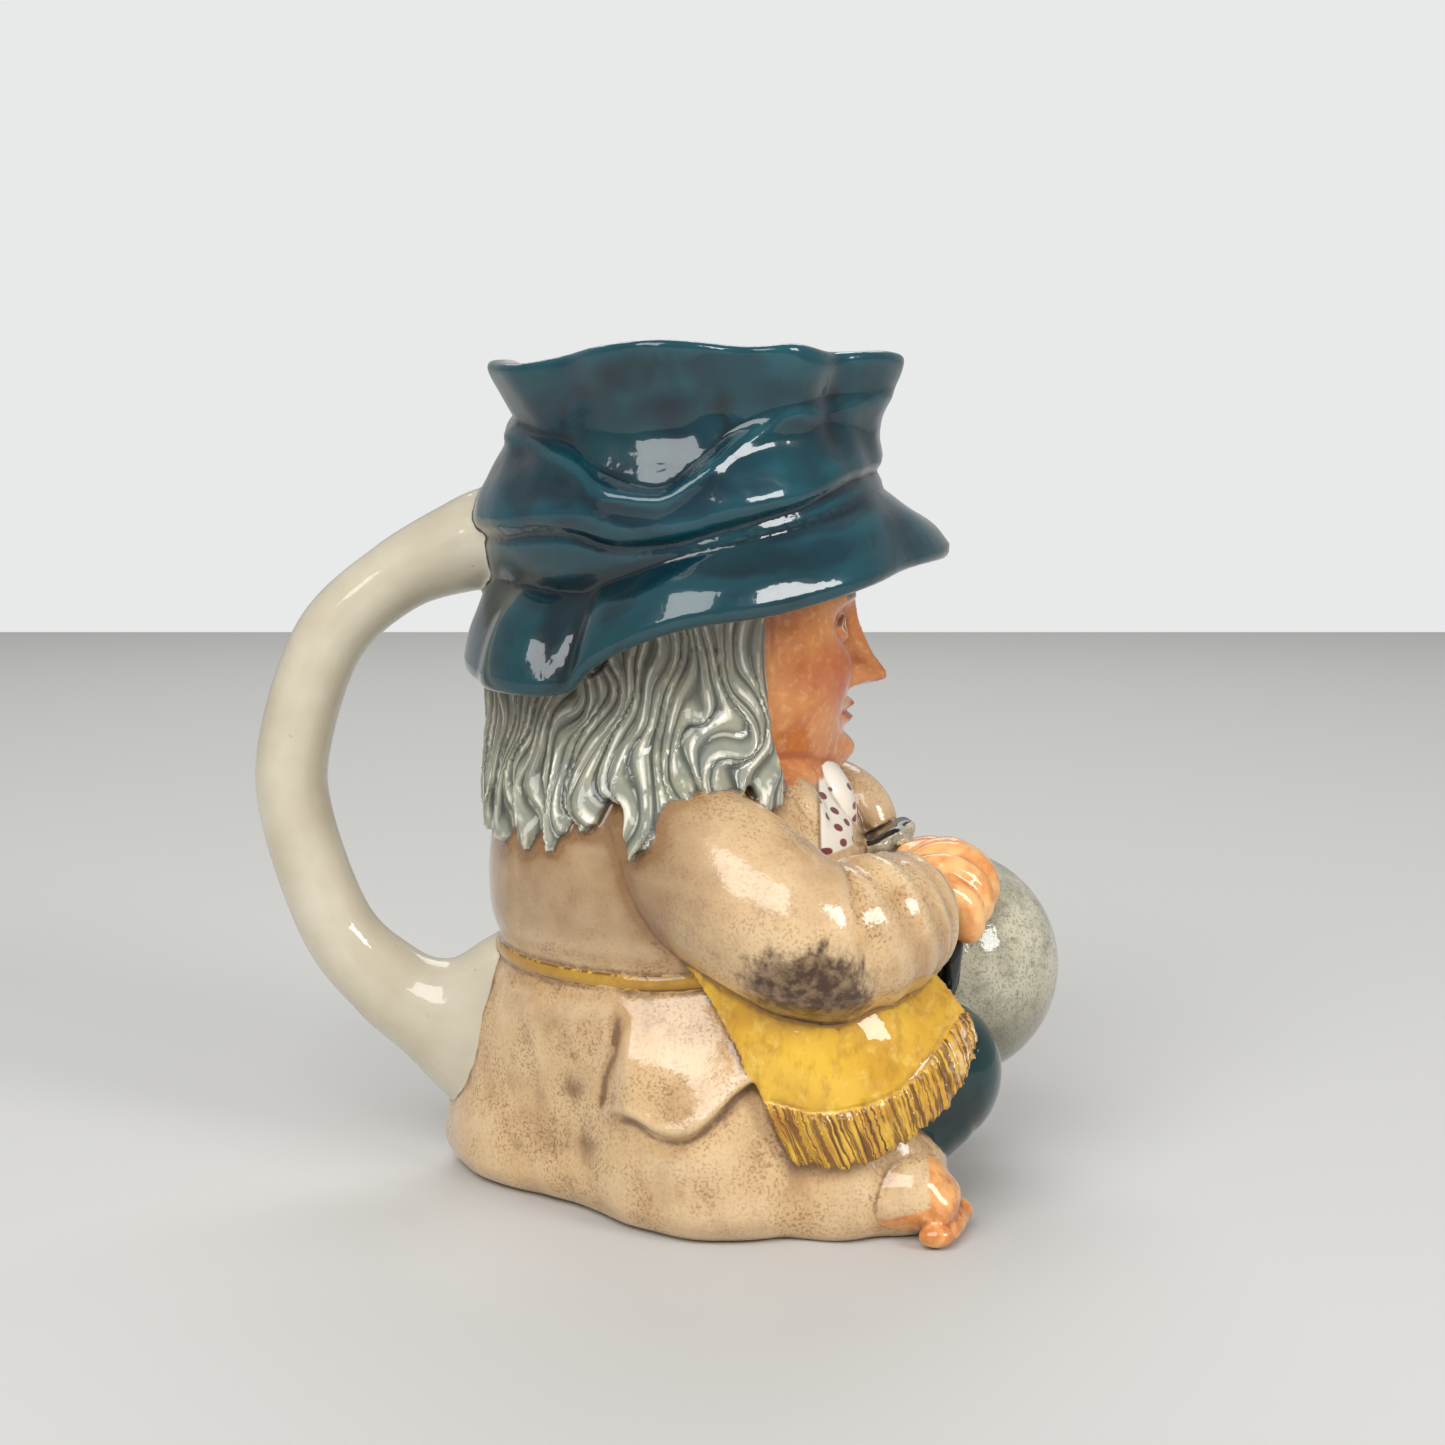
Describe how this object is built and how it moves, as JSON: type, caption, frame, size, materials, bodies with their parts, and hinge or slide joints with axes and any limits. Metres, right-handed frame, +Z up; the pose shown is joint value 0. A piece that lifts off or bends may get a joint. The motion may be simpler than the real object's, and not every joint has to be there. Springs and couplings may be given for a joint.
{
  "type": "toby jug",
  "caption": "Glazed earthenware jug shaped as a seated figure holding a round flask; the hat is the open mouth, with a loop handle behind.",
  "frame": {"origin": "on the flat underside, below the middle of the mouth", "axes": "+Z up through the mouth, +X the way the figure faces, the handle at -X, the figure's right side at -Y"},
  "size_m": [0.1141, 0.0855, 0.116],
  "materials": {
    "glazed_earthenware": "gloss glaze over hand painting"
  },
  "bodies": {
    "root": {"jug": "glazed_earthenware"}
  },
  "joints": []
}
